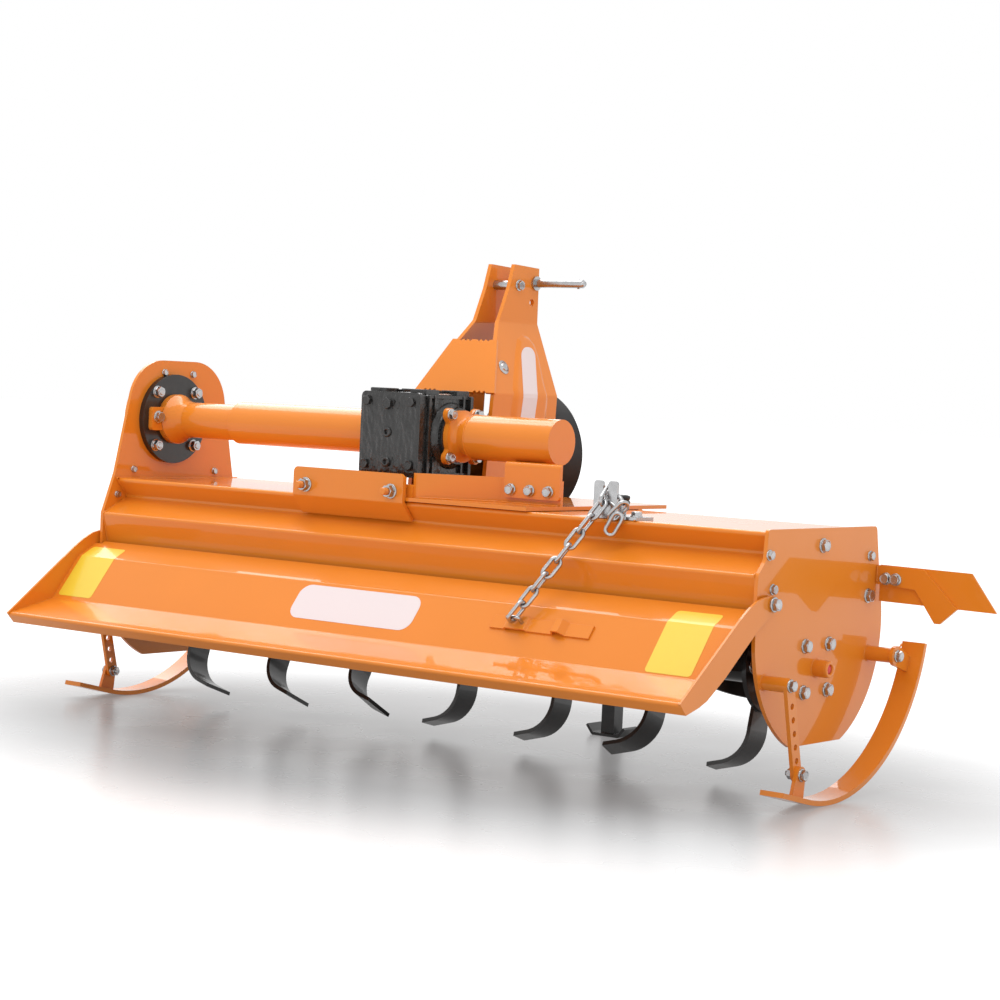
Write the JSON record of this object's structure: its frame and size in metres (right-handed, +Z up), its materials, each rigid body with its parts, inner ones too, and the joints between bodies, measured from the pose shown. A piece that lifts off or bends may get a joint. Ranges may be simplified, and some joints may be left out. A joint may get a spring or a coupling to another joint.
{
  "type": "tractor rotary tiller",
  "caption": "Three-point tractor rotary tiller: side-shifting headstock on a folded hood, bladed rotor, chain-held tailboard, height skids, guarded input shaft and a parking stand.",
  "frame": {"origin": "bottom centre of the whole parked machine, on the floor", "axes": "+X along the rotor towards the end plate with the deflector, +Y forward to the tractor, +Z up"},
  "size_m": [2.088, 0.8749, 1.037],
  "materials": {
    "orange_paint": "gloss",
    "black_paint": "satin",
    "black_iron": "rough",
    "zinc_plate": "satin",
    "bare_steel": "satin",
    "black_plastic": "matt",
    "olive_plastic": "matt"
  },
  "bodies": {
    "frame": {"hood": "orange_paint", "right_end_plate": "orange_paint", "left_side_plate": "orange_paint", "drive_case": "orange_paint", "left_bearing": "black_iron", "right_bearing": "orange_paint", "drive_flange": "black_paint", "inner_drive_tube": "orange_paint", "hinge_pins": "zinc_plate", "chain_fork": "zinc_plate", "right_skid": "orange_paint", "right_skid_strap": "orange_paint", "left_skid": "orange_paint", "left_skid_strap": "orange_paint", "deflector_arm": "orange_paint", "deflector_board": "orange_paint"},
    "headstock": {"saddle": "orange_paint", "rear_clamp": "orange_paint", "front_clamp": "orange_paint", "hitch_beam": "orange_paint", "left_hitch_pin": "zinc_plate", "right_hitch_pin": "zinc_plate", "right_mast": "orange_paint", "left_mast": "orange_paint", "top_pin": "zinc_plate", "mast_spacer": "zinc_plate", "mast_brace": "orange_paint", "gearbox": "black_iron", "gearbox_cover": "black_iron", "outer_drive_tube": "orange_paint", "support_tube": "orange_paint", "tube_bracket": "orange_paint", "shaft_guard": "black_plastic", "inner_guard": "olive_plastic", "stand_sleeve": "orange_paint"},
    "rotor": {"rotor_shaft": "black_paint", "right_hand_blades": "black_paint", "left_hand_blades": "black_paint"},
    "power_shaft": {"power_shaft": "bare_steel"},
    "tailboard": {"tailboard": "orange_paint", "chain_anchor": "orange_paint", "chain_staple": "zinc_plate"},
    "chain": {"lift_chain": "zinc_plate"},
    "stand": {"parking_stand": "black_paint"}
  },
  "joints": [
    {"name": "side_shift", "type": "slide", "parent": "frame", "child": "headstock", "axis": [1, 0, 0], "range_m": [-0.08, 0.14]},
    {"name": "rotor_spin", "type": "hinge", "parent": "frame", "child": "rotor", "pos_m": [-0.094, 0.0555, 0.246], "axis": [-1, 0, 0], "continuous": true},
    {"name": "input_spin", "type": "hinge", "parent": "headstock", "child": "power_shaft", "pos_m": [-0.208, 0.2525, 0.612], "axis": [0, 1, 0], "continuous": true},
    {"name": "tailboard_lift", "type": "hinge", "parent": "frame", "child": "tailboard", "pos_m": [-0.094, -0.1355, 0.378], "axis": [-1, 0, 0], "range_deg": [0, 35]},
    {"name": "chain_swing", "type": "hinge", "parent": "tailboard", "child": "chain", "pos_m": [0.2945, -0.28082, 0.31487], "axis": [-1, 0, 0], "range_deg": [-29.8, 0]},
    {"name": "stand_slide", "type": "slide", "parent": "headstock", "child": "stand", "axis": [0, 0, 1], "range_m": [0, 0.25]}
  ],
  "couplings": [
    {"joint": "input_spin", "follows": "rotor_spin", "ratio": 2.45},
    {"joint": "chain_swing", "follows": "tailboard_lift", "ratio": -0.85}
  ]
}
